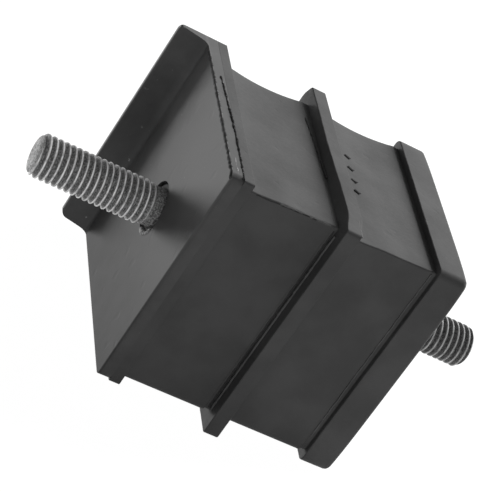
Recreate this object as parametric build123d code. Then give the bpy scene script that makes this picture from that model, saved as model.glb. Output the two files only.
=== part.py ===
from build123d import *
import os

# Engine mount: a rubber block between two end plates, with an interleaf
# plate in the middle of it and a threaded stud out of each end.
# X runs along the studs, Y across the lip of the angle plate, Z is up.
# The origin is on the studs' axis, in the outer face of the angle plate.

# Studs, alike but for their reach beyond the plate
STUD_DIAMETER = 10.0
LONG_REACH = 29.0
SHORT_REACH = 23.6
TIP_CHAMFER = 0.9
NECK_LENGTH = 2.0
NECK_UNDERCUT = 0.5
THREAD_RUN_OUT = 0.6
HEAD_THICKNESS = 3.2
HEAD_SEAT = 2.3
HEAD_CHAMFER = 0.6

# Outline of both end plates
PLATE_WIDTH = 55.1
PLATE_HEIGHT = 55.8

# Angle plate at the long stud
ANGLE_THICKNESS = 2.8
ANGLE_HOLE_CLEARANCE = 1.2
ANGLE_CORNER = 0.5
FOOT_CORNER = 1.8
ANGLE_EDGE_ROUND = 1.0
LIP_REACH = 6.65
LIP_STEP = 5.25
LIP_NOSE = 1.3
LIP_NOSE_ROUND = 0.8
LIP_ROOT = 3.7
LIP_BEND_RADIUS = 2.6
LIP_CORNER = 1.5

# Flat plate at the short stud, set into the rubber
FLAT_THICKNESS = 3.0
FLAT_HOLE_CLEARANCE = 0.3
FLAT_BORDER = 3.2
FLAT_CORNER = 3.0

# Interleaf plate, its rubber coat and how far the coat stands proud
INTERLEAF_THICKNESS = 1.6
COAT = 0.95
COAT_CORNER = 1.4
COAT_CHAMFER = 0.5
PROUD_ACROSS = 3.1
PROUD_UPRIGHT = 1.1

# Rubber rims behind the end plates
NEAR_RIM = 2.5
FAR_RIM = 4.5
FAR_RIM_PROUD = 0.25
FAR_RIM_CORNER = 1.6
FAR_RIM_ROUND = 1.6

# Rubber sections between the plates
SECTION_LENGTH = 21.0
SECTION_INSET = 1.25
SECTION_CORNER = 1.4
WAIST = 0.65
GROOVE_WIDTH = 1.1
GROOVE_DEPTH = 0.9

# Length by which a cutter runs past the face that it opens
CUT_MARGIN = 1.0

# Stations along the stud axis
BLOCK_START = ANGLE_THICKNESS + NEAR_RIM
COAT_START = BLOCK_START + SECTION_LENGTH
COAT_END = COAT_START + INTERLEAF_THICKNESS + 2 * COAT
BLOCK_END = COAT_END + SECTION_LENGTH
FLAT_INNER = BLOCK_END + FAR_RIM
FAR_FACE = FLAT_INNER + FLAT_THICKNESS

# Half sizes across the stud axis
HALF_WIDTH = PLATE_WIDTH / 2
HALF_HEIGHT = PLATE_HEIGHT / 2
LIP_OUTER = HALF_WIDTH + LIP_STEP
ANGLE_WIDTH = HALF_WIDTH + LIP_OUTER
ANGLE_MIDDLE = (LIP_OUTER - HALF_WIDTH) / 2
COAT_WIDTH = PLATE_WIDTH + 2 * PROUD_ACROSS
COAT_HEIGHT = PLATE_HEIGHT + 2 * PROUD_UPRIGHT
FAR_RIM_WIDTH = PLATE_WIDTH + 2 * FAR_RIM_PROUD
FAR_RIM_HEIGHT = PLATE_HEIGHT + 2 * FAR_RIM_PROUD
FLAT_WIDTH = PLATE_WIDTH - 2 * FLAT_BORDER
FLAT_HEIGHT = PLATE_HEIGHT - 2 * FLAT_BORDER

# Radii about the stud axis
STUD_RADIUS = STUD_DIAMETER / 2
NECK_RADIUS = STUD_RADIUS - NECK_UNDERCUT
ANGLE_HOLE_RADIUS = STUD_RADIUS + ANGLE_HOLE_CLEARANCE
FLAT_HOLE_RADIUS = STUD_RADIUS + FLAT_HOLE_CLEARANCE
HEAD_RADIUS = ANGLE_HOLE_RADIUS + HEAD_SEAT


def across_axis(x, y=0.0):
    """Plane square to the stud axis at station x, with its own x along Y."""
    return Plane(origin=(x, y, 0), x_dir=(0, 1, 0), z_dir=(1, 0, 0))


def slab(x_low, x_high, width, height, corner, y_middle=0.0):
    """Plate of even thickness between two stations, with rounded corners."""
    outline = across_axis(x_low, y_middle) * RectangleRounded(width, height, corner)
    return extrude(outline, x_high - x_low)


def bore(x_low, x_high, radius):
    """Round cutter along the stud axis that opens both stations."""
    circle = across_axis(x_low - CUT_MARGIN) * Circle(radius)
    return extrude(circle, x_high - x_low + 2 * CUT_MARGIN)


def edges_at(part, x):
    """Edges that lie wholly at one station."""
    return part.edges().filter_by_position(Axis.X, x, x)


def lip_profile():
    """Section of the angle plate: a flat web, a tight bend and a tapered lip."""
    outline = Polyline(
        (0, -HALF_WIDTH),
        (ANGLE_THICKNESS, -HALF_WIDTH),
        (ANGLE_THICKNESS, LIP_OUTER),
        (-LIP_REACH, LIP_OUTER),
        (-LIP_REACH, LIP_OUTER - LIP_NOSE),
        (0, LIP_OUTER - LIP_ROOT),
        close=True,
    )
    profile = make_face(outline)
    root = profile.vertices().sort_by_distance((0, LIP_OUTER - LIP_ROOT))[0]
    profile = fillet(root, LIP_BEND_RADIUS)
    nose = profile.vertices().sort_by_distance((-LIP_REACH, LIP_OUTER - LIP_NOSE))[0]
    profile = fillet(nose, LIP_NOSE_ROUND)
    foot = profile.vertices().sort_by_distance((0, -HALF_WIDTH))[0]
    return fillet(foot, ANGLE_EDGE_ROUND)


def angle_view():
    """Front view of the angle plate, rounder at its foot's corners than at its lip's."""
    outline = Rectangle(ANGLE_WIDTH, PLATE_HEIGHT)
    outline = fillet(outline.vertices().group_by(Axis.X)[0], FOOT_CORNER)
    return fillet(outline.vertices().group_by(Axis.X)[-1], ANGLE_CORNER)


def angle_plate():
    """Steel plate bent to a lip, with its corners trimmed and the stud's hole."""
    bent = extrude(lip_profile(), HALF_HEIGHT, both=True)
    length = LIP_REACH + ANGLE_THICKNESS
    side = Rectangle(length, PLATE_HEIGHT)
    side = fillet(side.vertices().group_by(Axis.X)[0], LIP_CORNER)
    side_plane = Plane(origin=(ANGLE_THICKNESS - length / 2, 0, 0), x_dir=(1, 0, 0), z_dir=(0, -1, 0))
    seen_from_side = extrude(side_plane * side, LIP_OUTER + CUT_MARGIN, both=True)
    front_plane = across_axis(-LIP_REACH, ANGLE_MIDDLE)
    seen_from_front = extrude(front_plane * angle_view(), length)
    plate = bent & seen_from_side & seen_from_front
    return plate - bore(0, ANGLE_THICKNESS, ANGLE_HOLE_RADIUS)


def flat_plate():
    """Plain steel plate set into the outer face of the far rim."""
    plate = slab(FLAT_INNER, FAR_FACE, FLAT_WIDTH, FLAT_HEIGHT, FLAT_CORNER)
    return plate - bore(FLAT_INNER, FAR_FACE, FLAT_HOLE_RADIUS)


def interleaf_plate():
    """Steel sheet that parts the rubber into two sections."""
    width = COAT_WIDTH - 2 * COAT
    height = COAT_HEIGHT - 2 * COAT
    return slab(COAT_START + COAT, COAT_END - COAT, width, height, COAT_CORNER)


def stud(reach, plate_thickness):
    """Turned stud along +X: a head at x = 0, a neck and a shank with a chamfered tip."""
    plate_face = HEAD_THICKNESS + plate_thickness
    thread_start = plate_face + NECK_LENGTH
    tip = plate_face + reach
    outline = Polyline(
        (0, 0),
        (0, HEAD_RADIUS),
        (HEAD_THICKNESS, HEAD_RADIUS),
        (HEAD_THICKNESS, NECK_RADIUS),
        (thread_start - THREAD_RUN_OUT, NECK_RADIUS),
        (thread_start, STUD_RADIUS),
        (tip - TIP_CHAMFER, STUD_RADIUS),
        (tip, STUD_RADIUS - TIP_CHAMFER),
        (tip, 0),
        close=True,
    )
    profile = make_face(outline)
    head_corner = profile.vertices().sort_by_distance((0, HEAD_RADIUS))[0]
    return revolve(chamfer(head_corner, HEAD_CHAMFER), Axis.X)


def section_view(plane, start, half):
    """Side view of a section: waisted by an arc on top, with a groove at its far end."""
    end = start + SECTION_LENGTH
    groove_start = end - GROOVE_WIDTH
    groove_half = half - GROOVE_DEPTH
    waist = (start + groove_start) / 2
    outline = [
        ThreePointArc((start, half), (waist, half - WAIST), (groove_start, half)),
        Polyline((groove_start, half), (groove_start, groove_half), (end, groove_half)),
        Line((end, groove_half), (end, -groove_half)),
        Polyline((end, -groove_half), (groove_start, -groove_half), (groove_start, -half)),
        Polyline((groove_start, -half), (start, -half), (start, half)),
    ]
    return plane * make_face(outline)


def rubber_section(start):
    """Block of rubber that fits both of its side views, with rounded long corners."""
    half_width = HALF_WIDTH - SECTION_INSET
    half_height = HALF_HEIGHT - SECTION_INSET
    across = extrude(section_view(Plane.XY, start, half_width), HALF_HEIGHT, both=True)
    upright = extrude(section_view(Plane.XZ, start, half_height), HALF_WIDTH, both=True)
    block = across & upright
    waisted_length = SECTION_LENGTH - GROOVE_WIDTH
    long_corners = [e for e in block.edges() if e.bounding_box().size.X > waisted_length / 2]
    return fillet(long_corners, SECTION_CORNER)


def rubber_body(solids_inside):
    """One moulding round the plates and stud heads: two rims, two sections and a coat."""
    body = slab(ANGLE_THICKNESS, BLOCK_START, ANGLE_WIDTH, PLATE_HEIGHT, ANGLE_CORNER, ANGLE_MIDDLE)
    body += rubber_section(BLOCK_START)
    coat = slab(COAT_START, COAT_END, COAT_WIDTH, COAT_HEIGHT, COAT_CORNER)
    body += chamfer(edges_at(coat, COAT_START) + edges_at(coat, COAT_END), COAT_CHAMFER)
    body += rubber_section(COAT_END)
    far_rim = slab(BLOCK_END, FAR_FACE, FAR_RIM_WIDTH, FAR_RIM_HEIGHT, FAR_RIM_CORNER)
    body += fillet(edges_at(far_rim, FAR_FACE), FAR_RIM_ROUND)
    body -= slab(FLAT_INNER, FAR_FACE + CUT_MARGIN, FLAT_WIDTH, FLAT_HEIGHT, FLAT_CORNER)
    for solid in solids_inside:
        body -= solid
    return body


interleaf = interleaf_plate()
long_stud = Pos(ANGLE_THICKNESS + HEAD_THICKNESS, 0, 0) * Rot(0, 0, 180) * stud(LONG_REACH, ANGLE_THICKNESS)
short_stud = Pos(FLAT_INNER - HEAD_THICKNESS, 0, 0) * stud(SHORT_REACH, FLAT_THICKNESS)

parts = {
    "angle_plate": angle_plate(),
    "flat_plate": flat_plate(),
    "interleaf_plate": interleaf,
    "long_stud": long_stud,
    "short_stud": short_stud,
    "rubber_body": rubber_body([interleaf, long_stud, short_stud]),
}

os.makedirs("parts", exist_ok=True)
for name, shape in parts.items():
    shape.label = name
    export_step(shape, f"parts/{name}.step")
    box = shape.bounding_box()
    print(name, round(shape.volume, 1), len(shape.solids()), box.min, box.max)
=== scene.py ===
import math

import bmesh
import bpy
from mathutils import Matrix, Vector, noise


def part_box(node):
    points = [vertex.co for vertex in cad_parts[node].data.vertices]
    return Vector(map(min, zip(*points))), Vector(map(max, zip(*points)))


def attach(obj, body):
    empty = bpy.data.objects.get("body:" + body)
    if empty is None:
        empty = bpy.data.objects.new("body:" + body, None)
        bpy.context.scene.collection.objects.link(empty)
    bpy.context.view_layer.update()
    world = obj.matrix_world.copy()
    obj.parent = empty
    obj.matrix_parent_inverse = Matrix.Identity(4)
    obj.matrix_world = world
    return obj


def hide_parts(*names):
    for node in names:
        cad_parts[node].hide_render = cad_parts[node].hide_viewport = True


bl_info = {
    "name": "Engine Mount",
    "version": (1, 0, 0),
    "blender": (4, 5, 0),
    "location": "View3D > Sidebar > Engine Mount",
    "description": "Dresses a bonded rubber engine mount: rubber, steel plates and threaded studs",
    "category": "Object",
}

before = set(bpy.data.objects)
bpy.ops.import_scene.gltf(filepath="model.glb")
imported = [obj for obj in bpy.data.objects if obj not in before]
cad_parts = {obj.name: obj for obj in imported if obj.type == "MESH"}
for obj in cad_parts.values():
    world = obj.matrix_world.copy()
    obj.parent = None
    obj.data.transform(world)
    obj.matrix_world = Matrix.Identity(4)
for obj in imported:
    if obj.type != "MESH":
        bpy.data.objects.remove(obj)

MM = 0.001
BODY = "root"
ANGLE_LOW, ANGLE_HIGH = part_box("angle_plate")
FLAT_LOW, FLAT_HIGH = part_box("flat_plate")
SHEET_LOW, SHEET_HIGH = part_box("interleaf_plate")
RUBBER_LOW, RUBBER_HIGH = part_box("rubber_body")
LONG_LOW, LONG_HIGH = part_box("long_stud")
SHORT_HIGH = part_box("short_stud")[1]
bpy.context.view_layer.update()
CENTRE = (RUBBER_LOW + RUBBER_HIGH) / 2
FLOOR_HEIGHT = RUBBER_LOW.z

# The rubber's rings: steps in each arc and side, and lengths in metres
CORNER_STEPS = 5
SIDE_STEPS = 44
ROUND_STEPS = 3
WAIST_STEPS = 12
TINY = 0.02 * MM
FLUSH_REACH = 2.5 * MM
WANDER_LENGTH = 2.2 * MM
POCKET_CORNER = 3.0 * MM
CORNER_POWER = 6
WANDER_SEED = 5
COAT_MM = 0.95

# Meshes: what counts as one point, one flat face and a sharp edge
MERGE_DISTANCE = 1e-6
THREAD_MERGE = 2e-7
FLAT_ANGLE = math.radians(1.0)
SHARP_ANGLE = math.radians(40)
THREAD_SHARP_ANGLE = math.radians(50)

# The studs: rows of faces, where the run-out and the flanks start, and how bright each part is painted: roots
# darker as painted shade, crests lighter as wear and painted highlight
CREST = "crest"
CREST_RADIUS = 5.0 * MM
HEAD_ROWS = 5
SPARE_ROWS = 3
NECK_SHARE = 0.4
FLANK = (0.12, 0.87)
PLAIN_TONE = 0.2
TIP_TONE = 0.4
CREST_TONE_GAIN = 3
THREAD_INPUTS = (
    "Face", "Direction", "Reach", "Pitch", "Radius", "Depth", "Neck Length", "Neck Radius",
    "Run-out", "Chamfer", "Plate", "Head", "Head Radius", "Head Chamfer",
)

# Painted light on the angle plate's outer face, lighter towards the top: its stations, its top and its tones
WEB_LIGHT_STATIONS = (-0.6 * MM, -0.1 * MM, 0.1 * MM, 0.4 * MM)
WEB_LIGHT_TOP = 0.7 * ANGLE_HIGH.z
WEB_LIGHT_TONES = (0.5, 1.3)

# The stage: the camera's sensor and near limit, the floor's glow, and each lamp's name, direction,
# distance, side and power
SENSOR_WIDTH = 36.0
CLIP_START = 0.01
FLOOR_GLOW = 1.17
FLOOR_BLEND = 0.85
LAMPS = (
    ("side_light", (-1.0, 2.0, -1.1), 0.9, 0.2, 26.0),
    ("top_light", (0.8, 0.6, 0.62), 1.0, 0.5, 47.0),
    ("front_fill", (-0.15, -1.0, -0.1), 3.0, 2.0, 53.0),
)

# Beads: noise of their swing and lumps, in features a metre, then step and sides
BEAD_INPUTS = ("Radius", "Wander", "Step", "Ragged")
BEAD_SWING = 700.0
BEAD_LUMPS = 1300.0
LUMP_RANGE = (0.35, 0.65)
BEAD_STEP = 0.4
BEAD_SIDES = 8
RING_SIDES = 12
RAGGED = 0.35

# Moulding flash, in millimetres: name, look, radius, swing and points
ROOT_X = SHEET_LOW.x / MM - COAT_MM
# Shaded and darkened looks paint shade; the pale look is lighter, partly as dust on torn flash and partly as
# a painted highlight
FLASH_LINES = (
    # Flash bead along the angle plate's rounded edge, darkened to paint the shade there
    (
        "plate_edge_flash", "dull", 0.5, 0.5,
        [(0.15, 25.4, 27.5), (0.1, -8.0, 27.5), (0.1, -25.8, 27.5), (0.1, -27.1, 26.9)],
    ),
    (
        "seam_flash", "torn", 0.36, 0.5,
        [(1.8, 15.0, 27.8), (2.4, 1.0, 27.85), (2.75, -8.0, 27.85), (2.7, -26.8, 27.75)],
    ),
    ("seam_specks", "smear", 0.26, 0.5, [(1.3, -19.5, 27.75), (1.4, -25.6, 27.75), (1.45, -26.9, 27.05)]),
    # Flash ridge on the upper face, coloured darker as painted shade
    ("groove_flash_upper", "shaded", 0.2, 0.4, [(24.7, 17.9, 26.6), (25.6, 5.0, 26.7), (26.2, -6.9, 26.8)]),
    ("groove_flash_side", "pale", 0.36, 0.25, [(ROOT_X, -27.1, 25.0), (ROOT_X, -27.1, -25.0)]),
    # Dark bead of painted shade beside the coat's root
    ("groove_shade_side", "shaded", 0.3, 0.2, [(ROOT_X - 0.5, -26.25, 25.5), (ROOT_X - 0.5, -26.25, -25.0)]),
    # Dark bead that paints the shadow under the section's long edge
    (
        "section_edge_tear", "shaded", 0.22, 0.4,
        [(7.0, -26.25, 25.6), (11.5, -26.25, 25.8), (21.1, -26.25, 26.2)],
    ),
    (
        "section_edge_flash", "pale", 0.24, 0.4,
        [(12.5, -26.2, 25.9), (16.0, -26.2, 26.1), (24.5, -26.2, 26.3)],
    ),
    ("far_groove_flash", "pale", 0.18, 0.4, [(49.8, -26.4, 26.0), (49.8, -26.4, 4.0), (50.0, -26.4, -21.6)]),
    ("coat_corner_flash", "pale", 0.3, 0.3, [(30.0, -23.9, 28.8), (29.9, -30.2, 28.75)]),
)

# Raised marks on the far section: middles, height, reach, radius, swing and raggedness
MARKS = ((34.75, 9.5), (34.8, 4.5), (34.85, -0.5), (34.85, -5.05))
MARK_HEIGHT = 25.68
MARK_REACH = (0.6, -0.5)
MARK_RADIUS = 0.8
MARK_SWING = 0.2
MARK_RAGGED = 0.15

# Darkened rubber ring in the long stud's hole, painting the shade in its gap, and the smear beside it:
# station, ring and bead, in millimetres
ARC_STEPS = 72
HOLE_STATION = 1.4
HOLE_RING = 5.35
HOLE_RADIUS = 0.84
SMEAR_STATION = 0.35
SMEAR_RING = 6.1
SMEAR_RADIUS = 0.75
SMEAR_SWING = 0.5
SMEAR_STEPS = range(41, 55)


def length(name, default, description):
    """A size in metres, shown in the scene's own unit."""
    return bpy.props.FloatProperty(
        name=name, default=default, description=description, unit="LENGTH", precision=5
    )


def share(name, default, description):
    """A factor between nothing and all."""
    return bpy.props.FloatProperty(name=name, default=default, description=description, min=0.0, max=1.0)


def count(name, default, description):
    """A whole number of steps."""
    return bpy.props.IntProperty(name=name, default=default, description=description, min=1)


def plain_number(name, default, description):
    """A value in the unit that its description names."""
    return bpy.props.FloatProperty(name=name, default=default, description=description)


def colour(name, default, description):
    """A linear colour."""
    return bpy.props.FloatVectorProperty(
        name=name, default=default, description=description, subtype="COLOR", size=3, min=0.0, max=1.0
    )


class RubberSettings(bpy.types.PropertyGroup):
    """Sizes and colour of the moulded rubber"""

    near_rim: length("Near rim", 2.5 * MM, "Thickness of the rubber behind the angle plate")
    seam_round: length("Seam round", 0.08 * MM, "Radius of the rubber's edge along the angle plate")
    far_rim: length("Far rim", 4.5 * MM, "Thickness of the rubber in front of the flat plate")
    far_proud: length("Far rim overhang", 0.25 * MM, "How far the far rim stands out of the plates' outline")
    far_round: length("Far rim round", 1.1 * MM, "Radius of the far rim's outer edge")
    far_corner: length("Far rim corner", 1.6 * MM, "Corner radius of the far rim")
    rim_corner: length("Near rim corner", 0.5 * MM, "Corner radius of the near rim")
    inset: length("Section inset", 1.25 * MM, "How far the sections lie inside the plates' outline")
    corner: length("Section corner", 1.4 * MM, "Radius of the sections' long corners")
    waist: length("Waist", 0.65 * MM, "How far the upper faces sink between the plates")
    upper_corner: length("Upper corner", 0.4 * MM, "Radius of the sections' long corner above the foot")
    edge_dip: length("Edge dip", 0.7 * MM, "How much lower that corner lies at the near rim than further on")
    edge_waist: share("Edge waist", 0.5, "Waist along that corner, as a share of the full waist")
    groove_width: length("Groove width", 1.1 * MM, "Width of the groove beside a plate")
    groove_depth: length("Groove depth", 0.9 * MM, "Depth of the groove beside a plate")
    shallow: share("Shallow groove", 0.03, "Share of the groove's depth that is left above and at the foot")
    lean: length("Lean", 0.65 * MM, "How far the coat's upper edge leans along the studs")
    foot_lean: length("Foot lean", 0.75 * MM, "How much more it leans near the foot")
    lean_start: length("Lean start", 26.0 * MM, "Height at which the lean starts")
    lean_turn: length("Lean turn", 10.0 * MM, "Place across from which the lean grows towards the foot")
    lean_end: length("Lean end", 9.0 * MM, "Distance from the foot's side over which the lean fades out")
    corner_pull: length("Corner pull", 0.5 * MM, "How far the far rim's corners shrink back")
    coat: length("Coat", COAT_MM * MM, "Rubber over each side of the interleaf plate")
    coat_corner: length("Coat corner", 0.9 * MM, "Corner radius of the coated interleaf plate")
    coat_round: length("Coat round", 0.1 * MM, "Radius of the coat's edges")
    rim_round: length("Near rim round", 0.1 * MM, "Radius of the near rim's edge above the section")
    edge_round: length("Edge round", 0.3 * MM, "Radius of the moulded edges")
    ragged: length("Ragged edge", 0.05 * MM, "How far a moulded edge wanders")
    seam_ragged: length("Ragged seam", 0.03 * MM, "How far the seam along the angle plate wanders")
    head_radius: length("Head pocket", LONG_HIGH.z, "Radius of the pocket of a stud's head")
    base: colour("Rubber", (0.05, 0.05, 0.05), "Colour of the rubber")


class PlateSettings(bpy.types.PropertyGroup):
    """Colour of the steel plates"""

    base: colour("Paint", (0.05, 0.05, 0.05), "Colour of the painted steel")


class StudSettings(bpy.types.PropertyGroup):
    """Sizes and colour of both studs"""

    pitch: length("Pitch", 1.5 * MM, "Distance from crest to crest")
    depth: length("Thread depth", 0.9 * MM, "Height of a crest over its root")
    neck_length: length("Neck", 2.0 * MM, "Plain stretch outside the plate")
    neck_undercut: length("Neck undercut", 0.5 * MM, "How far the neck lies below the crests")
    run_out: length("Run-out", 2.2 * MM, "Length over which the thread fades into the neck")
    chamfer: length("Tip chamfer", 0.9 * MM, "Chamfer at the tip")
    head_thickness: length("Head", 3.2 * MM, "Thickness of the head")
    head_chamfer: length("Head chamfer", 0.6 * MM, "Chamfer at the head's back")
    rows: count("Rows in a turn", 16, "Rows of faces in one turn of the thread")
    around: count("Faces around", 72, "Faces around the stud")
    base: colour("Stud steel", (0.33, 0.33, 0.33), "Colour of the plated steel")
    long_shade: share("Long stud shade", 1.0, "How much of that colour the long stud keeps")
    short_shade: share("Short stud shade", 0.45, "How much of that colour the short stud keeps")


class StageSettings(bpy.types.PropertyGroup):
    """Camera, floor and even light"""

    azimuth: plain_number("Azimuth", -23.49, "Camera's bearing in degrees")
    elevation: plain_number("Elevation", 25.04, "Camera's height in degrees")
    roll: plain_number("Roll", 34.89, "Camera's roll in degrees")
    target: bpy.props.FloatVectorProperty(
        name="Target", default=(0.02454, 0.00153, 0.00037), unit="LENGTH",
        description="Point that the camera looks at",
    )
    distance: length("Distance", 0.483, "From the camera to its target")
    lens: plain_number("Lens", 157.3, "Focal length in millimetres")
    floor_size: length("Floor", 12.0, "Side of the square floor")
    floor: colour("Floor", (0.35, 0.35, 0.35), "Colour of the floor")
    ambient: share("Ambient", 0.05, "Strength of the light from all round")


def settings(kind):
    """The scene's settings of one kind."""
    return getattr(bpy.context.scene, "mount_" + kind)


class NodeTree:
    """Adds nodes to a tree and joins them, for short and readable materials and shapes."""

    def __init__(self, tree):
        self.tree = tree

    def node(self, kind, inputs=None, **options):
        """A node with its options set and its inputs set or linked."""
        made = self.tree.nodes.new(kind)
        for name, value in options.items():
            setattr(made, name, value)
        for key, value in (inputs or {}).items():
            self.feed(made.inputs[key], value)
        return made

    def feed(self, socket, value):
        """Links a socket to another node's output, or sets its value."""
        if isinstance(value, bpy.types.NodeSocket):
            self.tree.links.new(value, socket)
        else:
            socket.default_value = value

    def math(self, operation, first, second=0.0, third=0.0):
        """Result of one sum."""
        made = self.node("ShaderNodeMath", operation=operation)
        for socket, value in zip(made.inputs, (first, second, third)):
            self.feed(socket, value)
        return made.outputs[0]

    def ramp(self, value, low, high, start=0.0, end=1.0):
        """Maps low..high smoothly to start..end."""
        made = self.node("ShaderNodeMapRange", interpolation_type="SMOOTHSTEP")
        for socket, number in zip(made.inputs, (value, low, high, start, end)):
            self.feed(socket, number)
        return made.outputs[0]

    def mix_colour(self, factor, first, second):
        """Blend of two colours."""
        made = self.node("ShaderNodeMix", data_type="RGBA")
        self.feed(made.inputs["Factor"], factor)
        self.feed(made.inputs["A"], first)
        self.feed(made.inputs["B"], second)
        return made.outputs["Result"]

    def noise(self, place, scale, detail=3.0, roughness=0.5):
        """Fractal noise at a place, with a scale in features a metre."""
        made = self.node(
            "ShaderNodeTexNoise", {"Vector": place, "Scale": scale, "Detail": detail, "Roughness": roughness}
        )
        return made.outputs[0]


def rgba(values):
    """A colour with full opacity."""
    return (*values, 1.0)


def brighter(values, factor):
    """A colour times a factor."""
    return rgba([min(1.0, v * factor) for v in values])


def surface(name):
    """A new material, its tree, its shader and the place on the object in metres."""
    made = bpy.data.materials.new(name)
    made.use_nodes = True
    nodes = NodeTree(made.node_tree)
    shader = made.node_tree.nodes["Principled BSDF"]
    place = nodes.node("ShaderNodeTexCoord").outputs["Object"]
    return made, nodes, shader, place


def relief(nodes, shader, layers):
    """Stacks bumps, each a height with its depth in metres, on a shader."""
    normal = None
    for height, depth in layers:
        bump = nodes.node("ShaderNodeBump", {"Strength": 1.0, "Distance": depth, "Height": height})
        if normal:
            nodes.feed(bump.inputs["Normal"], normal)
        normal = bump.outputs["Normal"]
    nodes.feed(shader.inputs["Normal"], normal)


def rubber_material(name="moulded_rubber", shade=1.0):
    """Satin moulded rubber: faint clouds, fine grain and pits."""
    made, nodes, shader, place = surface(name)
    # A shade below 1 gives a darker copy and above 1 a lighter one; beads use them as painted shade and
    # painted highlight
    base = [value * shade for value in settings("rubber").base]
    clouds = nodes.noise(place, 90.0, 4.0)
    grain = nodes.noise(place, 1400.0, 4.0, 0.6)
    tone = nodes.mix_colour(nodes.ramp(clouds, 0.3, 0.7), brighter(base, 0.88), brighter(base, 1.15))
    nodes.feed(shader.inputs["Base Color"], tone)
    shader.inputs["Specular IOR Level"].default_value = 0.06
    nodes.feed(shader.inputs["Roughness"], nodes.ramp(nodes.math("ADD", clouds, grain), 0.7, 1.3, 0.48, 0.6))
    pits = nodes.ramp(nodes.noise(place, 320.0, 1.0), 0.24, 0.32)
    swell = nodes.noise(place, 160.0, 2.0)
    relief(nodes, shader, [(swell, 0.1 * MM), (pits, 0.02 * MM), (grain, 0.02 * MM)])
    return made


def paint_material():
    """Black paint on sheet steel: orange peel, smudges, scuffs, dents, and painted light on the outer face
    that grows lighter towards the top.
    """
    made, nodes, shader, place = surface("painted_steel")
    base = settings("plate").base
    smudges = nodes.noise(place, 130.0, 5.0, 0.6)
    peel = nodes.noise(place, 1100.0, 3.0)
    tone = nodes.mix_colour(nodes.ramp(smudges, 0.3, 0.7), brighter(base, 0.88), brighter(base, 1.12))
    scuffs = nodes.ramp(nodes.noise(place, 700.0, 3.0, 0.7), 0.68, 0.76)
    scuffed = nodes.mix_colour(scuffs, tone, brighter(base, 3.5))
    apart = nodes.node("ShaderNodeSeparateXYZ", {"Vector": place}).outputs
    # Painted light: the outer face is darker at the bottom and lighter towards the top
    outside = nodes.ramp(apart["X"], *WEB_LIGHT_STATIONS[:2])
    inside = nodes.ramp(apart["X"], *WEB_LIGHT_STATIONS[2:], 1.0, 0.0)
    web_light = nodes.math("SUBTRACT", nodes.ramp(apart["Z"], ANGLE_LOW.z, WEB_LIGHT_TOP, *WEB_LIGHT_TONES), 1.0)
    web_light = nodes.math("ADD", 1.0, nodes.math("MULTIPLY", web_light, nodes.math("MULTIPLY", outside, inside)))
    lit_paint = nodes.node("ShaderNodeVectorMath", {0: scuffed}, operation="SCALE")
    nodes.feed(lit_paint.inputs["Scale"], web_light)
    nodes.feed(shader.inputs["Base Color"], lit_paint.outputs[0])
    nodes.feed(shader.inputs["Roughness"], nodes.ramp(smudges, 0.3, 0.7, 0.36, 0.44))
    shader.inputs["Specular IOR Level"].default_value = 0.12
    dents = nodes.ramp(nodes.noise(place, 210.0, 1.0), 0.25, 0.38)
    relief(nodes, shader, [(dents, 0.03 * MM), (peel, 0.008 * MM)])
    return made


def stud_material(name, shade):
    """Dull plated steel with worn crests, darker and rougher in patches; its roots are painted darker as
    shade and its crests lighter, as wear and as a painted highlight.
    """
    made, nodes, shader, place = surface(name)
    base = [value * shade for value in settings("stud").base]
    patches = nodes.noise(place, 420.0, 4.0, 0.6)
    grain = nodes.noise(place, 2600.0, 3.0, 0.6)
    crest = nodes.node("ShaderNodeAttribute", attribute_name=CREST).outputs["Fac"]
    # Crests lighter: partly wear, partly a painted highlight
    wear_and_highlight = nodes.math("MULTIPLY", nodes.ramp(crest, 0.82, 0.98), nodes.ramp(patches, 0.35, 0.55, 0.35, 1.0))
    # Both grains are darker towards the roots: painted shade in the thread's hollows
    dark = nodes.mix_colour(nodes.ramp(crest, 0.0, 0.5), brighter(base, 0.15), brighter(base, 0.35))
    light = nodes.mix_colour(nodes.ramp(crest, 0.0, 0.5), brighter(base, 0.7), brighter(base, 1.0))
    flank = nodes.mix_colour(nodes.ramp(grain, 0.42, 0.6), dark, light)
    nodes.feed(shader.inputs["Base Color"], nodes.mix_colour(wear_and_highlight, flank, brighter(base, 2.0)))
    nodes.feed(shader.inputs["Roughness"], nodes.ramp(wear_and_highlight, 0.0, 1.0, 0.6, 0.4))
    shader.inputs["Metallic"].default_value = 0.3
    relief(nodes, shader, [(grain, 0.018 * MM)])
    return made


def add_piece(name, mesh, slot, *nodes):
    """Links a finished mesh as a piece that rides on the part."""
    piece = bpy.data.objects.new(name, mesh)
    bpy.context.scene.collection.objects.link(piece)
    if nodes:
        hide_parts(*nodes)
    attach(piece, BODY)
    return piece


def flatten_shading(piece):
    """Smooth shading that keeps broad faces flat and steep edges sharp."""
    piece.data.shade_smooth()
    piece.data.set_sharp_from_angle(angle=SHARP_ANGLE)
    modifier = piece.modifiers.new("Flat faces", "WEIGHTED_NORMAL")
    modifier.keep_sharp = True


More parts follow.
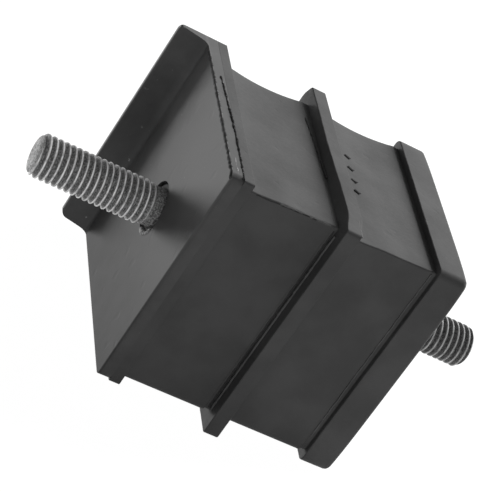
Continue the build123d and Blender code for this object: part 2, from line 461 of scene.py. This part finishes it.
class Outline:
    """Rounded rectangle across the stud axis, with a corner above its foot that can differ."""

    def __init__(self, low_y, high_y, low_z, high_z, corner, upper=None):
        self.sides = (low_y, high_y, low_z, high_z)
        self.corner = corner
        self.upper = corner if upper is None else upper

    def moved(self, low_y, high_y, low_z, high_z):
        """The same outline with each side moved in by a depth of its own."""
        depths = (low_y, -high_y, low_z, -high_z)
        sides = [side + depth for side, depth in zip(self.sides, depths)]
        return Outline(*sides, max(self.corner - low_z, TINY), max(self.upper - high_z, TINY))

    def inset(self, depth):
        """The same outline moved in by a depth, or out by a negative one."""
        return self.moved(depth, depth, depth, depth)

    def points(self):
        """Points round the outline, from +Y towards +Z."""
        low_y, high_y, low_z, high_z = self.sides
        small, upper = self.corner, self.upper
        centres = [
            (high_y - small, high_z - small, small),
            (low_y + upper, high_z - upper, upper),
            (low_y + small, low_z + small, small),
            (high_y - small, low_z + small, small),
        ]
        arcs = []
        for quarter, (y, z, radius) in enumerate(centres):
            angles = [math.pi / 2 * (quarter + step / CORNER_STEPS) for step in range(CORNER_STEPS + 1)]
            arcs.append([(y + radius * math.cos(a), z + radius * math.sin(a)) for a in angles])
        found = []
        for quarter, arc in enumerate(arcs):
            start, end = Vector(arc[-1]), Vector(arcs[(quarter + 1) % 4][0])
            found += [Vector(p) for p in arc]
            found += [start.lerp(end, step / SIDE_STEPS) for step in range(1, SIDE_STEPS)]
        return found


def rectangle_ring(x, outline):
    """Ring of points on an outline at one station."""
    return [Vector((x, p.x, p.y)) for p in outline.points()]


def circle_ring(x, radius, outline):
    """Ring of points on a circle, each facing the outline's point of the same number."""
    return [Vector((x, *(p.normalized() * radius))) for p in outline.points()]


def wander(rings, amount):
    """Moves the points of some rings a little, alike wherever points are alike."""
    noise.seed_set(WANDER_SEED)
    scale = 1 / WANDER_LENGTH
    for ring in rings:
        for point in ring:
            point += amount * noise.noise_vector(point * scale)
    return rings


def smooth(value):
    """Soft step from 0 to 1."""
    value = min(1.0, max(0.0, value))
    return value * value * (3 - 2 * value)


def sink(ring, depth, foot_depth, outline):
    """Sinks the upper faces of a ring by one depth at their far side and another above the foot."""
    low_y, high_y, _, high_z = outline.sides
    for point in ring:
        across = smooth((point.y - low_y) / (high_y - low_y))
        point.z -= (foot_depth + (depth - foot_depth) * across) * smooth(point.z / high_z)
        point.y -= depth * smooth(point.y / high_y)
    return ring


def lean(rings, starts, ends):
    """Leans the coat along the studs, with the rubber beside it following less and less."""
    rubber = settings("rubber")
    for ring in rings:
        for point in ring:
            before = (point.x - starts[0]) / (starts[1] - starts[0])
            after = (ends[1] - point.x) / (ends[1] - ends[0])
            upper = smooth((point.z - rubber.lean_start) / (RUBBER_HIGH.z - rubber.lean_start))
            above_foot = point.y - RUBBER_LOW.y
            span = rubber.lean_turn - RUBBER_LOW.y - rubber.lean_end
            across = smooth((rubber.lean_turn - point.y) / span)
            reach = (rubber.lean + rubber.foot_lean * across) * smooth(above_foot / rubber.lean_end)
            point.x += smooth(min(before, after)) * upper * reach
    return rings


def pull_corners(rings, depth):
    """Draws the corners of a face back along the studs."""
    for ring in rings:
        for point in ring:
            across, upright = abs(point.y) / ANGLE_HIGH.z, abs(point.z) / ANGLE_HIGH.z
            point.x -= depth * (across**CORNER_POWER * upright**CORNER_POWER)
    return rings


def flush_foot(rings, outline):
    """Takes the rounding off along the foot, where rubber and plate are flush."""
    for ring in rings:
        for point, edge in zip(ring, outline.points()):
            near = smooth(1 - (edge.x - outline.sides[0]) / FLUSH_REACH)
            point.y += near * (edge.x - point.y)
            point.z += near * (edge.y - point.z)
    return rings


def near_edge(x, outline, radius):
    """Round edge met first along the axis: the face at x, then the side."""
    found = []
    for step in range(ROUND_STEPS + 1):
        angle = math.pi / 2 * step / ROUND_STEPS
        station = x + radius * (1 - math.cos(angle))
        found.append(rectangle_ring(station, outline.inset(radius * (1 - math.sin(angle)))))
    return found


def far_edge(x, outline, radius):
    """Round edge met last along the axis: the side, then the face at x."""
    found = []
    for step in range(ROUND_STEPS + 1):
        angle = math.pi / 2 * step / ROUND_STEPS
        station = x - radius * (1 - math.sin(angle))
        found.append(rectangle_ring(station, outline.inset(radius * (1 - math.cos(angle)))))
    return found


def waisted_section(start, end, outline):
    """Rings of one section, from the plate it leaves to the groove at its far end."""
    rubber = settings("rubber")
    groove_start = end - rubber.groove_width
    middle = (start + groove_start) / 2
    half = (groove_start - start) / 2
    rings = [sink(rectangle_ring(start, outline), 0.0, rubber.edge_dip, outline)]
    for step in range(1, WAIST_STEPS):
        x = start + (groove_start - start) * step / WAIST_STEPS
        depth = max(rubber.waist * (1 - ((x - middle) / half) ** 2), 0.0)
        dip = rubber.edge_dip * smooth(1 - (x - start) / (middle - start))
        rings.append(sink(rectangle_ring(x, outline), depth, rubber.edge_waist * depth + dip, outline))
    rings += far_edge(groove_start, outline, rubber.rim_round)
    shallow = rubber.shallow * rubber.groove_depth
    floor = outline.moved(shallow, rubber.groove_depth, rubber.groove_depth, shallow)
    rings.append(rectangle_ring(groove_start, floor))
    rings.append(rectangle_ring(end, floor))
    return rings


def rubber_rings():
    """All rings of the rubber, from the long stud's head to the short stud's."""
    rubber = settings("rubber")
    stud = settings("stud")
    plate_back = ANGLE_HIGH.x
    coat_start = SHEET_LOW.x - rubber.coat
    coat_end = SHEET_HIGH.x + rubber.coat
    block_start = plate_back + rubber.near_rim
    far_front = FLAT_LOW.x - rubber.far_rim
    far_face = FLAT_HIGH.x
    rim = Outline(ANGLE_LOW.y, ANGLE_HIGH.y, ANGLE_LOW.z, ANGLE_HIGH.z, rubber.rim_corner)
    half_width = -ANGLE_LOW.y - rubber.inset
    half_height = ANGLE_HIGH.z - rubber.inset
    block = Outline(-half_width, half_width, -half_height, half_height, rubber.corner, rubber.upper_corner)
    coat = Outline(RUBBER_LOW.y, -RUBBER_LOW.y, RUBBER_LOW.z, RUBBER_HIGH.z, rubber.coat_corner)
    far = Outline(ANGLE_LOW.y, -ANGLE_LOW.y, ANGLE_LOW.z, ANGLE_HIGH.z, rubber.far_corner)
    far = far.inset(-rubber.far_proud)
    pocket = Outline(FLAT_LOW.y, FLAT_HIGH.y, FLAT_LOW.z, FLAT_HIGH.z, POCKET_CORNER)
    long_head = plate_back + stud.head_thickness
    short_head = FLAT_LOW.x - stud.head_thickness
    rings = [circle_ring(long_head, TINY, rim), circle_ring(long_head, rubber.head_radius, rim)]
    rings.append(circle_ring(plate_back, rubber.head_radius, rim))
    seam = wander(near_edge(plate_back, rim, rubber.seam_round), rubber.seam_ragged)
    rings += flush_foot(seam, rim)
    rings += far_edge(block_start, rim, rubber.rim_round)
    rings += waisted_section(block_start, coat_start, block)
    rings += wander(near_edge(coat_start, coat, rubber.edge_round), rubber.ragged)
    rings += far_edge(coat_end, coat, rubber.coat_round)
    rings += waisted_section(coat_end, far_front, block)
    rings += wander(near_edge(far_front, far, rubber.edge_round), rubber.ragged)
    rings += pull_corners(far_edge(far_face, far, rubber.far_round), rubber.corner_pull)
    lean(rings, (block_start, coat_start - rubber.groove_width), (coat_end, far_front - rubber.groove_width))
    rings += [rectangle_ring(far_face, pocket), rectangle_ring(FLAT_LOW.x, pocket)]
    rings.append(circle_ring(FLAT_LOW.x, rubber.head_radius, far))
    rings += [circle_ring(short_head, rubber.head_radius, far), circle_ring(short_head, TINY, far)]
    return rings


def ring_mesh(name, rings):
    """Closed mesh through rings of equal count, capped at both ends."""
    around = len(rings[0])
    points = [point for ring in rings for point in ring]
    faces = []
    for level in range(len(rings) - 1):
        low, high = level * around, (level + 1) * around
        for i in range(around):
            following = (i + 1) % around
            faces.append((low + i, low + following, high + following, high + i))
    faces.append(tuple(reversed(range(around))))
    faces.append(tuple(range((len(rings) - 1) * around, len(rings) * around)))
    made = bpy.data.meshes.new(name)
    made.from_pydata(points, [], faces)
    made.validate()
    return made


def skin_of(node, name):
    """Merged copy of a steel plate's mesh, with each flat face in one."""
    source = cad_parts[node].data
    work = bmesh.new()
    work.from_mesh(source)
    bmesh.ops.remove_doubles(work, verts=work.verts, dist=MERGE_DISTANCE)
    bmesh.ops.dissolve_limit(work, angle_limit=FLAT_ANGLE, verts=work.verts, edges=work.edges)
    made = bpy.data.meshes.new(name)
    work.to_mesh(made)
    work.free()
    return made


class MOUNT_OT_rubber(bpy.types.Operator):
    """Build the moulded rubber with its rims, waisted sections and coated interleaf plate"""

    bl_idname = "mount.rubber"
    bl_label = "Rubber"

    def execute(self, context):
        mesh = ring_mesh("rubber_skin", rubber_rings())
        mesh.materials.append(rubber_material())
        piece = add_piece("rubber_skin", mesh, "rubber", "rubber_body")
        flatten_shading(piece)
        return {"FINISHED"}


class MOUNT_OT_plates(bpy.types.Operator):
    """Dress the angle plate, the flat plate and the hidden interleaf plate"""

    bl_idname = "mount.plates"
    bl_label = "Plates"

    def execute(self, context):
        paint = paint_material()
        for node, name in (("angle_plate", "angle_plate_skin"), ("flat_plate", "flat_plate_skin")):
            mesh = skin_of(node, name)
            mesh.materials.clear()
            mesh.materials.append(paint)
            piece = add_piece(name, mesh, "plate_steel", node)
            flatten_shading(piece)
        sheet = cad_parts["interleaf_plate"]
        sheet.data.materials.clear()
        sheet.data.materials.append(paint)
        return {"FINISHED"}


def finish_tree(nodes, last, material):
    """Ends a geometry tree: instances made real, then the material."""
    real = nodes.node("GeometryNodeRealizeInstances", {"Geometry": last.outputs[0]})
    painted = nodes.node("GeometryNodeSetMaterial", {"Geometry": real.outputs[0], "Material": material})
    nodes.node("NodeGroupOutput", {"Geometry": painted.outputs[0]})


def thread_tree():
    """Geometry tree of a headed stud with a rolled thread that fades into its neck."""
    tree = bpy.data.node_groups.new("Rolled stud", "GeometryNodeTree")
    tree.is_modifier = True
    tree.interface.new_socket("Geometry", in_out="OUTPUT", socket_type="NodeSocketGeometry")
    for name in THREAD_INPUTS:
        tree.interface.new_socket(name, in_out="INPUT", socket_type="NodeSocketFloat")
    for name in ("Rows", "Around", "Rows in a Turn"):
        tree.interface.new_socket(name, in_out="INPUT", socket_type="NodeSocketInt")
    tree.interface.new_socket("Material", in_out="INPUT", socket_type="NodeSocketMaterial")
    nodes = NodeTree(tree)
    given = nodes.node("NodeGroupInput").outputs
    calc = nodes.math
    rows, around = given["Rows"], given["Around"]
    grid = nodes.node("GeometryNodeMeshGrid", {"Size X": rows, "Size Y": around})
    nodes.feed(grid.inputs["Vertices X"], calc("ADD", rows, 1))
    nodes.feed(grid.inputs["Vertices Y"], calc("ADD", around, 1))
    at = nodes.node("GeometryNodeInputPosition").outputs[0]
    corner = nodes.node("ShaderNodeSeparateXYZ", {"Vector": at})
    row = calc("ROUND", calc("ADD", corner.outputs["X"], calc("DIVIDE", rows, 2)))
    column = calc("ROUND", calc("ADD", corner.outputs["Y"], calc("DIVIDE", around, 2)))
    turn = calc("DIVIDE", column, around)
    step = calc("DIVIDE", given["Pitch"], given["Rows in a Turn"])
    thread_row = calc("SUBTRACT", row, HEAD_ROWS)
    fade_start = calc("SUBTRACT", given["Neck Length"], calc("MULTIPLY", given["Run-out"], NECK_SHARE))
    wound = calc("ADD", calc("SUBTRACT", fade_start, given["Pitch"]), calc("MULTIPLY", thread_row, step))
    wound = calc("ADD", wound, calc("MULTIPLY", given["Pitch"], turn))
    station = calc("MINIMUM", calc("MAXIMUM", wound, fade_start), given["Reach"])
    phase = calc("FRACT", calc("DIVIDE", thread_row, given["Rows in a Turn"]))
    peak = calc("SUBTRACT", 1, calc("MULTIPLY", calc("ABSOLUTE", calc("SUBTRACT", phase, 0.5)), 2))
    height = nodes.ramp(peak, *FLANK)
    root_radius = calc("SUBTRACT", given["Radius"], given["Depth"])
    threaded = calc("ADD", root_radius, calc("MULTIPLY", height, given["Depth"]))
    fade = nodes.ramp(station, fade_start, calc("ADD", fade_start, given["Run-out"]))
    neck = calc("MULTIPLY", given["Neck Radius"], calc("SUBTRACT", 1, fade))
    threaded = calc("ADD", calc("MULTIPLY", threaded, fade), neck)
    tip_radius = calc("SUBTRACT", given["Radius"], given["Chamfer"])
    cone = calc("ADD", tip_radius, calc("SUBTRACT", given["Reach"], station))
    threaded = calc("MINIMUM", threaded, cone)
    last = calc("COMPARE", row, rows, 0.1)
    threaded = calc("MULTIPLY", threaded, calc("SUBTRACT", 1, last))
    head_back = calc("MULTIPLY", calc("ADD", given["Plate"], given["Head"]), -1)
    plate_back = calc("MULTIPLY", given["Plate"], -1)
    chamfer_end = calc("ADD", head_back, given["Head Chamfer"])
    stations = (head_back, head_back, chamfer_end, plate_back, plate_back, station)
    chamfered = calc("SUBTRACT", given["Head Radius"], given["Head Chamfer"])
    radii = (0.0, chamfered, given["Head Radius"], given["Head Radius"], given["Neck Radius"], threaded)
    choice = calc("MINIMUM", row, HEAD_ROWS)
    shown = calc("MINIMUM", calc("MULTIPLY", fade, CREST_TONE_GAIN), 1)
    crest = calc("ADD", PLAIN_TONE, calc("MULTIPLY", shown, calc("SUBTRACT", height, PLAIN_TONE)))
    at_tip = calc("COMPARE", station, given["Reach"], MERGE_DISTANCE)
    crest = calc("MULTIPLY", crest, calc("SUBTRACT", 1, at_tip))
    crest = calc("ADD", crest, calc("MULTIPLY", at_tip, TIP_TONE))
    crest_tones = [PLAIN_TONE] * HEAD_ROWS + [crest]
    picked = []
    for values in (stations, radii, crest_tones):
        switch = nodes.node("GeometryNodeIndexSwitch", data_type="FLOAT")
        while len(switch.index_switch_items) < len(values):
            switch.index_switch_items.new()
        nodes.feed(switch.inputs["Index"], choice)
        for index, value in enumerate(values):
            nodes.feed(switch.inputs[index + 1], value)
        picked.append(switch.outputs[0])
    angle = calc("MULTIPLY", turn, math.tau)
    across = calc("MULTIPLY", given["Direction"], calc("MULTIPLY", picked[1], calc("COSINE", angle)))
    upright = calc("MULTIPLY", picked[1], calc("SINE", angle))
    along = calc("ADD", given["Face"], calc("MULTIPLY", given["Direction"], picked[0]))
    place = nodes.node("ShaderNodeCombineXYZ", {"X": along, "Y": across, "Z": upright}).outputs[0]
    marked = nodes.node("GeometryNodeStoreNamedAttribute", {"Geometry": grid.outputs["Mesh"], "Name": CREST})
    nodes.feed(marked.inputs["Value"], picked[2])
    shaped = nodes.node("GeometryNodeSetPosition", {"Geometry": marked.outputs[0], "Position": place})
    near = {"Geometry": shaped.outputs[0], "Distance": THREAD_MERGE}
    merged = nodes.node("GeometryNodeMergeByDistance", near)
    finish_tree(nodes, merged, given["Material"])
    return tree


def run_tree(name, tree, values, base_mesh=None):
    """Plain mesh that a geometry tree makes from named values."""
    holder = bpy.data.objects.new(name, base_mesh or bpy.data.meshes.new(name + "_base"))
    bpy.context.scene.collection.objects.link(holder)
    modifier = holder.modifiers.new(name, "NODES")
    modifier.node_group = tree
    for socket in tree.interface.items_tree:
        if socket.in_out == "INPUT" and socket.name in values:
            modifier[socket.identifier] = values[socket.name]
    graph = bpy.context.evaluated_depsgraph_get()
    made = bpy.data.meshes.new_from_object(holder.evaluated_get(graph), depsgraph=graph)
    bpy.data.objects.remove(holder)
    if not made.polygons:
        raise RuntimeError(f"{name} came out empty")
    made.name = name
    return made


def stud_values(face, direction, reach, plate, material):
    """Named inputs of one stud's tree."""
    stud = settings("stud")
    rows = math.ceil((reach + stud.pitch) / (stud.pitch / stud.rows)) + HEAD_ROWS + SPARE_ROWS
    neck_radius = CREST_RADIUS - stud.neck_undercut
    return {
        "Face": face, "Direction": direction, "Reach": reach, "Pitch": stud.pitch, "Radius": CREST_RADIUS,
        "Depth": stud.depth, "Neck Length": stud.neck_length, "Neck Radius": neck_radius,
        "Run-out": stud.run_out, "Chamfer": stud.chamfer, "Plate": plate, "Head": stud.head_thickness,
        "Head Radius": LONG_HIGH.z, "Head Chamfer": stud.head_chamfer, "Rows": rows, "Around": stud.around,
        "Rows in a Turn": stud.rows, "Material": material,
    }


class MOUNT_OT_studs(bpy.types.Operator):
    """Build both studs with their rolled threads, plain necks and hidden heads"""

    bl_idname = "mount.studs"
    bl_label = "Studs"

    def execute(self, context):
        tree = thread_tree()
        stud = settings("stud")
        long_steel = stud_material("plated_steel", stud.long_shade)
        # The short stud gets a darker copy of the same steel
        short_steel = stud_material("short_stud_steel", stud.short_shade)
        long_values = stud_values(0.0, -1.0, -LONG_LOW.x, ANGLE_HIGH.x, long_steel)
        flat_thickness = FLAT_HIGH.x - FLAT_LOW.x
        short_values = stud_values(FLAT_HIGH.x, 1.0, SHORT_HIGH.x - FLAT_HIGH.x, flat_thickness, short_steel)
        for name, node, values in (
            ("long_stud_threaded", "long_stud", long_values),
            ("short_stud_threaded", "short_stud", short_values),
        ):
            piece = add_piece(name, run_tree(name, tree, values), "stud_steel", node)
            piece.data.shade_smooth()
            piece.data.set_sharp_from_angle(angle=THREAD_SHARP_ANGLE)
        return {"FINISHED"}


def direction_of(azimuth, elevation):
    """Unit vector towards a bearing and height in degrees."""
    a, e = math.radians(azimuth), math.radians(elevation)
    return Vector((math.sin(a) * math.cos(e), -math.cos(a) * math.cos(e), math.sin(e)))


def add_camera():
    """Camera at the photograph's viewing angle."""
    stage = settings("stage")
    back = direction_of(stage.azimuth, stage.elevation)
    data = bpy.data.cameras.new("camera")
    data.sensor_width = SENSOR_WIDTH
    data.lens = stage.lens
    data.clip_start = CLIP_START
    camera = bpy.data.objects.new("camera", data)
    bpy.context.scene.collection.objects.link(camera)
    turned = (-back).to_track_quat("-Z", "Y").to_matrix() @ Matrix.Rotation(math.radians(stage.roll), 3, "Z")
    place = Vector(stage.target) + back * stage.distance
    camera.matrix_world = Matrix.Translation(place) @ turned.to_4x4()
    bpy.context.scene.camera = camera


def add_lamp(name, direction, distance, size, power):
    """Square soft light that faces the part's centre, kept out of reflections."""
    data = bpy.data.lights.new(name, "AREA")
    data.shape = "SQUARE"
    data.size = size
    data.energy = power
    lamp = bpy.data.objects.new(name, data)
    towards = Vector(direction).normalized()
    lamp.location = CENTRE + towards * distance
    lamp.rotation_mode = "QUATERNION"
    lamp.rotation_quaternion = (-towards).to_track_quat("-Z", "Y")
    lamp.visible_glossy = False
    bpy.context.scene.collection.objects.link(lamp)


def shown_rays(nodes, ray):
    """1 for the rays that show the white backdrop: camera, reflection and transmission."""
    mirrored = nodes.math("MAXIMUM", ray["Is Glossy Ray"], ray["Is Transmission Ray"])
    return nodes.math("MAXIMUM", ray["Is Camera Ray"], mirrored)


def light_world():
    """World that lights evenly and shows white to the camera and to reflections."""
    world = bpy.data.worlds.new("studio")
    bpy.context.scene.world = world
    world.use_nodes = True
    world.cycles.sampling_method = "NONE"
    nodes = NodeTree(world.node_tree)
    ray = nodes.node("ShaderNodeLightPath").outputs
    strength = nodes.ramp(shown_rays(nodes, ray), 0.0, 1.0, settings("stage").ambient, 1.0)
    background = world.node_tree.nodes["Background"]
    background.inputs["Color"].default_value = (1, 1, 1, 1)
    nodes.feed(background.inputs["Strength"], strength)


def floor_material():
    """White floor that keeps a faint shadow and lets light through from below."""
    stage = settings("stage")
    made = bpy.data.materials.new("floor_white")
    made.cycles.emission_sampling = "NONE"
    made.use_nodes = True
    nodes = NodeTree(made.node_tree)
    made.node_tree.nodes.remove(made.node_tree.nodes["Principled BSDF"])
    ray = nodes.node("ShaderNodeLightPath").outputs
    shown = shown_rays(nodes, ray)
    matt = nodes.node("ShaderNodeBsdfDiffuse", {"Color": rgba(stage.floor)}).outputs[0]
    glow = nodes.node("ShaderNodeEmission", {"Color": (1, 1, 1, 1), "Strength": FLOOR_GLOW}).outputs[0]
    bright = nodes.node("ShaderNodeMixShader", {0: FLOOR_BLEND, 1: matt, 2: glow}).outputs[0]
    seen = nodes.node("ShaderNodeMixShader", {0: shown, 1: matt, 2: bright}).outputs[0]
    clear = nodes.node("ShaderNodeBsdfTransparent").outputs[0]
    whole = nodes.node("ShaderNodeMixShader", {0: ray["Is Shadow Ray"], 1: seen, 2: clear}).outputs[0]
    nodes.feed(made.node_tree.nodes["Material Output"].inputs["Surface"], whole)
    return made


def bead_tree():
    """Geometry tree that lays a ragged bead along the edges of its mesh."""
    tree = bpy.data.node_groups.new("Ragged bead", "GeometryNodeTree")
    tree.is_modifier = True
    tree.interface.new_socket("Geometry", in_out="OUTPUT", socket_type="NodeSocketGeometry")
    tree.interface.new_socket("Geometry", in_out="INPUT", socket_type="NodeSocketGeometry")
    for name in BEAD_INPUTS:
        tree.interface.new_socket(name, in_out="INPUT", socket_type="NodeSocketFloat")
    tree.interface.new_socket("Sides", in_out="INPUT", socket_type="NodeSocketInt")
    tree.interface.new_socket("Seed", in_out="INPUT", socket_type="NodeSocketFloat")
    tree.interface.new_socket("Material", in_out="INPUT", socket_type="NodeSocketMaterial")
    nodes = NodeTree(tree)
    given = nodes.node("NodeGroupInput").outputs
    path = nodes.node("GeometryNodeMeshToCurve", {"Mesh": given["Geometry"]}).outputs[0]
    steps = {"Curve": path, "Length": given["Step"]}
    path = nodes.node("GeometryNodeResampleCurve", steps, mode="LENGTH").outputs[0]
    place = nodes.node("GeometryNodeInputPosition").outputs[0]
    swing, lumps = [
        nodes.node(
            "ShaderNodeTexNoise", {"Vector": place, "W": given["Seed"], "Scale": scale}, noise_dimensions="4D"
        )
        for scale in (BEAD_SWING, BEAD_LUMPS)
    ]
    middle = {0: swing.outputs["Color"], 1: (0.5, 0.5, 0.5)}
    centred = nodes.node("ShaderNodeVectorMath", middle, operation="SUBTRACT")
    shift = nodes.node("ShaderNodeVectorMath", {0: centred.outputs[0]}, operation="SCALE")
    nodes.feed(shift.inputs["Scale"], given["Wander"])
    path = nodes.node("GeometryNodeSetPosition", {"Geometry": path, "Offset": shift.outputs[0]}).outputs[0]
    thickness = nodes.ramp(lumps.outputs[0], *LUMP_RANGE, nodes.math("SUBTRACT", 1.0, given["Ragged"]), 1.0)
    circle = {"Resolution": given["Sides"], "Radius": given["Radius"]}
    ring = nodes.node("GeometryNodeCurvePrimitiveCircle", circle)
    swept = {"Curve": path, "Profile Curve": ring.outputs[0], "Scale": thickness, "Fill Caps": True}
    bead = nodes.node("GeometryNodeCurveToMesh", swept)
    smoothed = nodes.node("GeometryNodeSetShadeSmooth", {"Geometry": bead.outputs[0]})
    finish_tree(nodes, smoothed, given["Material"])
    return tree


def path_mesh(name, points, closed=False):
    """Mesh of edges through points given in millimetres."""
    edges = [(i, i + 1) for i in range(len(points) - 1)]
    if closed:
        edges.append((len(points) - 1, 0))
    made = bpy.data.meshes.new(name)
    made.from_pydata([Vector(point) * MM for point in points], edges, [])
    return made


def torn_material():
    """Torn rubber along the mould's partings: dark, with pale frayed specks."""
    made, nodes, shader, place = surface("torn_rubber")
    base = settings("rubber").base
    frays = nodes.ramp(nodes.noise(place, 1800.0, 3.0, 0.6), 0.56, 0.66)
    grain = nodes.noise(place, 4000.0, 2.0)
    nodes.feed(shader.inputs["Base Color"], nodes.mix_colour(frays, brighter(base, 0.3), brighter(base, 2.0)))
    nodes.feed(shader.inputs["Roughness"], nodes.ramp(grain, 0.3, 0.7, 0.7, 0.9))
    shader.inputs["Specular IOR Level"].default_value = 0.1
    relief(nodes, shader, [(grain, 0.05 * MM)])
    return made


def smear_material():
    """Pale rubber dust smeared beside the stud's hole."""
    made, nodes, shader, place = surface("pale_smear")
    base = settings("rubber").base
    dust = nodes.noise(place, 1500.0, 3.0, 0.6)
    tone = nodes.mix_colour(nodes.ramp(dust, 0.4, 0.6), brighter(base, 1.4), brighter(base, 4.0))
    nodes.feed(shader.inputs["Base Color"], tone)
    nodes.feed(shader.inputs["Roughness"], nodes.ramp(dust, 0.3, 0.7, 0.6, 0.8))
    relief(nodes, shader, [(dust, 0.05 * MM)])
    return made


def arc_points(station, radius, steps):
    """Points on a circle round the stud axis, in millimetres."""
    angles = [math.tau * step / ARC_STEPS for step in steps]
    return [(station, radius * math.cos(angle), radius * math.sin(angle)) for angle in angles]


def bead_lines():
    """Every bead: name, look, radius, swing, points, whether it is closed, and its raggedness."""
    lines = [(*line, False, RAGGED) for line in FLASH_LINES]
    along, across = MARK_REACH
    for number, (x, y) in enumerate(MARKS, 1):
        ends = [(x - along, y - across, MARK_HEIGHT), (x + along, y + across, MARK_HEIGHT)]
        lines.append((f"mark_{number}", "dull", MARK_RADIUS, MARK_SWING, ends, False, MARK_RAGGED))
    smear = arc_points(SMEAR_STATION, SMEAR_RING, SMEAR_STEPS)
    lines.append(("hole_smear", "smear", SMEAR_RADIUS, SMEAR_SWING, smear, False, RAGGED))
    hole = arc_points(HOLE_STATION, HOLE_RING, range(ARC_STEPS))
    lines.append(("hole_shade_ring", "shaded", HOLE_RADIUS, 0.0, hole, True, 0.0))
    return lines


class MOUNT_OT_flash(bpy.types.Operator):
    """Lay the moulding flash and beads of painted shade along the seams, grooves and edges, and a darkened
    rubber ring as painted shade in the stud's hole
    """

    bl_idname = "mount.flash"
    bl_label = "Moulding flash"

    def execute(self, context):
        tree = bead_tree()
        # Darker copies of the rubber paint shade on beads and in the stud's hole, and give the marks their
        # darker tone; the pale copy is lighter, partly as dust on torn flash and partly as a painted
        # highlight
        materials = {
            "torn": torn_material(), "smear": smear_material(),
            "shaded": rubber_material("painted_shade_rubber", 0.5), "dull": rubber_material("darkened_rubber", 0.75),
            "pale": rubber_material("dust_and_highlight_rubber", 1.4),
        }
        for seed, (name, look, radius, swing, points, closed, ragged) in enumerate(bead_lines()):
            values = {
                "Radius": radius * MM, "Wander": swing * MM, "Step": BEAD_STEP * MM, "Ragged": ragged,
                "Sides": RING_SIDES if closed else BEAD_SIDES, "Seed": float(seed),
                "Material": materials[look],
            }
            path = path_mesh(name + "_path", points, closed)
            add_piece(name, run_tree(name, tree, values, path), "rubber")
        return {"FINISHED"}


class MOUNT_OT_stage(bpy.types.Operator):
    """Set up the camera, the lights and the white floor"""

    bl_idname = "mount.stage"
    bl_label = "Stage"

    def execute(self, context):
        add_camera()
        light_world()
        half = settings("stage").floor_size / 2
        mesh = bpy.data.meshes.new("floor")
        corners = [(-half, -half), (half, -half), (half, half), (-half, half)]
        mesh.from_pydata([(x, y, FLOOR_HEIGHT) for x, y in corners], [], [(0, 1, 2, 3)])
        mesh.materials.append(floor_material())
        floor = bpy.data.objects.new("floor", mesh)
        context.scene.collection.objects.link(floor)
        for lamp in LAMPS:
            add_lamp(*lamp)
        context.scene.view_settings.view_transform = "Standard"
        return {"FINISHED"}


class MOUNT_PT_panel(bpy.types.Panel):
    """Buttons for the mount's pieces"""

    bl_label = "Engine Mount"
    bl_idname = "MOUNT_PT_panel"
    bl_space_type = "VIEW_3D"
    bl_region_type = "UI"
    bl_category = "Engine Mount"

    def draw(self, context):
        for operator in OPERATORS:
            self.layout.operator(operator.bl_idname)


SETTINGS = {"rubber": RubberSettings, "plate": PlateSettings, "stud": StudSettings, "stage": StageSettings}
OPERATORS = (MOUNT_OT_stage, MOUNT_OT_rubber, MOUNT_OT_plates, MOUNT_OT_studs, MOUNT_OT_flash)


def register():
    """Registers the settings, the operators and the panel."""
    for kind in (*SETTINGS.values(), *OPERATORS, MOUNT_PT_panel):
        bpy.utils.register_class(kind)
    for name, kind in SETTINGS.items():
        setattr(bpy.types.Scene, "mount_" + name, bpy.props.PointerProperty(type=kind))


def unregister():
    """Takes them back in the opposite order."""
    for name in SETTINGS:
        delattr(bpy.types.Scene, "mount_" + name)
    for kind in reversed((*SETTINGS.values(), *OPERATORS, MOUNT_PT_panel)):
        bpy.utils.unregister_class(kind)


def main():
    """Builds every piece in order."""
    register()
    bpy.ops.mount.stage()
    bpy.ops.mount.rubber()
    bpy.ops.mount.plates()
    bpy.ops.mount.studs()
    bpy.ops.mount.flash()


if __name__ == "__main__":
    main()
